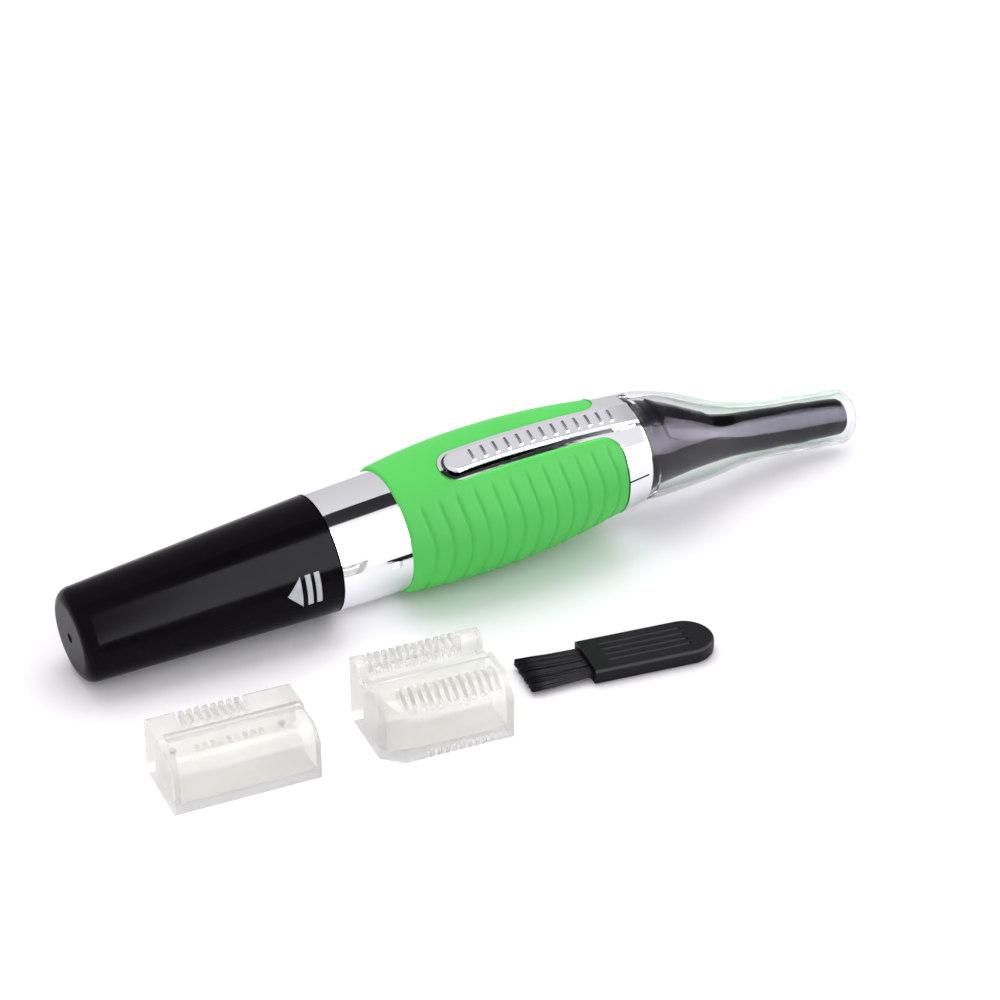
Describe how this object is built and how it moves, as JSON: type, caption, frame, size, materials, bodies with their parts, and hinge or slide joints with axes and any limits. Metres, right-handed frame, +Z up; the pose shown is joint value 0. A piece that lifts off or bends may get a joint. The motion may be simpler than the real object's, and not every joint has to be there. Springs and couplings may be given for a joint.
{
  "type": "nose hair trimmer",
  "caption": "Pen-shaped battery nose hair trimmer with a ribbed rubber grip, slide switch, bent lit neck, clear cover, guide combs and a cleaning brush.",
  "frame": {"origin": "centre of the bounding box at the table surface, with the trimmer, combs and brush lying as they are set down", "axes": "+X along the trimmer from the battery cap to the cutting head, +Y across the table away from the combs and brush, +Z up"},
  "size_m": [0.1472, 0.0586, 0.0248],
  "materials": {
    "black_plastic": "gloss",
    "brush_plastic": "satin",
    "bristle": "matt fibre",
    "green_rubber": "satin soft-touch",
    "chrome": "mirror",
    "clear_plastic": "clear gloss",
    "comb_plastic": "milky clear",
    "contact_metal": "plated",
    "spring_steel": "drawn wire",
    "cell_label": "printed sleeve",
    "inner_plastic": "moulded",
    "lever_plastic": "moulded",
    "seal_rubber": "satin",
    "screw_steel": "turned",
    "motor_steel": "plated",
    "magnet": "sintered",
    "board": "solder mask",
    "resistor": "lacquer",
    "lamp": "clear",
    "wire": "satin",
    "blade_steel": "ground"
  },
  "bodies": {
    "handle": {"battery_tube": "inner_plastic", "blade_screw": "screw_steel", "blade_spring": "spring_steel", "cap_seal": "seal_rubber", "chassis_lower": "inner_plastic", "chassis_screws": "screw_steel", "chassis_upper": "inner_plastic", "fixed_blade": "blade_steel", "front_collar": "chrome", "grip_sleeve": "green_rubber", "led": "lamp", "led_board": "board", "led_resistor": "resistor", "led_wires": "wire", "lever_pivot": "screw_steel", "light_hood": "black_plastic", "light_lens": "clear_plastic", "motor_can": "motor_steel", "motor_end_cap": "inner_plastic", "motor_magnets": "magnet", "motor_terminals": "contact_metal", "motor_wires": "wire", "neck_housing": "black_plastic", "negative_strip": "contact_metal", "nose": "black_plastic", "positive_contact": "contact_metal", "rear_collar": "chrome", "switch_bezel": "chrome", "switch_board": "board", "switch_pads": "contact_metal", "trim_ring": "chrome"},
    "battery_cap": {"battery_cap": "black_plastic", "cap_contact": "contact_metal", "cap_spring": "spring_steel"},
    "battery": {"battery_cell": "cell_label"},
    "switch": {"switch_slider": "chrome", "switch_wiper": "contact_metal"},
    "rotor": {"motor_rotor": "motor_steel", "motor_shaft": "screw_steel", "crank": "lever_plastic"},
    "lever": {"drive_lever": "lever_plastic", "moving_blade": "blade_steel"},
    "cover": {"clear_cover": "clear_plastic"},
    "short_comb": {"short_comb": "comb_plastic"},
    "long_comb": {"long_comb": "comb_plastic"},
    "brush": {"brush_handle": "brush_plastic", "brush_bristles": "bristle"}
  },
  "joints": [
    {"name": "battery_cap_pull", "type": "slide", "parent": "handle", "child": "battery_cap", "axis": [-0.998, 0, -0.0628], "range_m": [0, 0.06]},
    {"name": "battery_draw", "type": "slide", "parent": "handle", "child": "battery", "axis": [-0.998, 0, -0.0628], "range_m": [0, 0.015]},
    {"name": "switch_slide", "type": "slide", "parent": "handle", "child": "switch", "axis": [0.998, 0, 0.0628], "range_m": [0, 0.003]},
    {"name": "rotor_spin", "type": "hinge", "parent": "handle", "child": "rotor", "pos_m": [-0.03131, 0.01743, 0.01022], "axis": [0.998, 0, 0.0628], "continuous": true},
    {"name": "lever_swing", "type": "hinge", "parent": "handle", "child": "lever", "pos_m": [0.03064, 0.0179, 0.01295], "axis": [-0.0583, -0.3746, 0.9254], "range_deg": [-1.5, 1.5]},
    {"name": "cover_pull", "type": "slide", "parent": "handle", "child": "cover", "axis": [0.9831, 0.0894, -0.1597], "range_m": [0, 0.045]},
    {"name": "short_comb_lift", "type": "slide", "parent": "handle", "child": "short_comb", "axis": [0, 0, 1], "range_m": [0, 0.03]},
    {"name": "long_comb_lift", "type": "slide", "parent": "handle", "child": "long_comb", "axis": [0, 0, 1], "range_m": [0, 0.03]},
    {"name": "brush_lift", "type": "slide", "parent": "handle", "child": "brush", "axis": [0, 0, 1], "range_m": [0, 0.03]}
  ],
  "couplings": [
    {"joint": "battery_draw", "follows": "battery_cap_pull", "ratio": 0.25}
  ]
}
